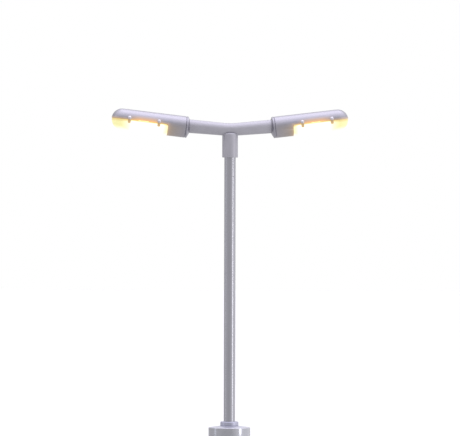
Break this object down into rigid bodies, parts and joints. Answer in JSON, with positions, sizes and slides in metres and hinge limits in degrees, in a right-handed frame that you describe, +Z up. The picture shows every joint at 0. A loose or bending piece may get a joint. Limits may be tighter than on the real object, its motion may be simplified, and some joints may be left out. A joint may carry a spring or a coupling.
{
  "type": "model lamp post",
  "caption": "Model railway lamp post: slim mast, tee bracket with a glowing round-ended head on each rising arm, and a plug foot in a flanged layout socket.",
  "frame": {"origin": "on the mast's axis at the layout surface, where the socket's flange seats and its barrel begins", "axes": "+Z up along the mast, +X along the right-hand arm as seen from the front, -Y towards the viewer in front"},
  "size_m": [0.0474, 0.0084, 0.0782],
  "materials": {
    "nickel_plate": "turned and nickel plated, satin",
    "mast_silver": "silver paint, satin",
    "silver_plastic": "silver-coloured moulding, satin",
    "warm_lens": "translucent diffuser, lit from inside",
    "warm_led": "phosphor-coated LED, lit",
    "white_board": "white solder resist",
    "green_board": "green solder resist",
    "component_black": "moulded epoxy",
    "solder": "bright tin",
    "tinned_brass": "tinned",
    "bare_brass": "bright, turned",
    "black_plastic": "moulded, matt",
    "red_enamelled_copper": "red enamel over copper",
    "green_enamelled_copper": "green enamel over copper"
  },
  "bodies": {
    "socket": {"socket_shell": "nickel_plate", "socket_insulator": "black_plastic", "outer_contact_sleeve": "bare_brass", "centre_contact_socket": "bare_brass", "driver_board": "green_board", "rectifier_diodes": "component_black", "series_resistor": "component_black", "solder_lugs": "tinned_brass", "socket_base_disc": "black_plastic"},
    "contact_cage": {"contact_cage": "bare_brass"},
    "mast": {"plug_barrel": "bare_brass", "plug_insulator": "black_plastic", "plug_centre_pin": "bare_brass", "plug_solder_joints": "solder", "foot_collar": "nickel_plate", "mast_tube": "mast_silver", "tee_bracket": "silver_plastic", "left_end_cap": "silver_plastic", "right_end_cap": "silver_plastic", "left_housing": "silver_plastic", "right_housing": "silver_plastic", "left_lens": "warm_lens", "right_lens": "warm_lens", "left_lens_clips": "silver_plastic", "right_lens_clips": "silver_plastic", "left_led_board": "white_board", "right_led_board": "white_board", "left_led": "warm_led", "right_led": "warm_led", "left_solder_joints": "solder", "right_solder_joints": "solder", "left_live_wire": "red_enamelled_copper", "right_live_wire": "red_enamelled_copper", "left_return_wire": "green_enamelled_copper", "right_return_wire": "green_enamelled_copper"}
  },
  "joints": [
    {"name": "mast_unplug", "type": "slide", "parent": "socket", "child": "contact_cage", "axis": [0, 0, 1], "range_m": [0, 0.012]},
    {"name": "mast_turn", "type": "hinge", "parent": "contact_cage", "child": "mast", "pos_m": [0, 0, 0], "axis": [0, 0, 1], "continuous": true}
  ]
}
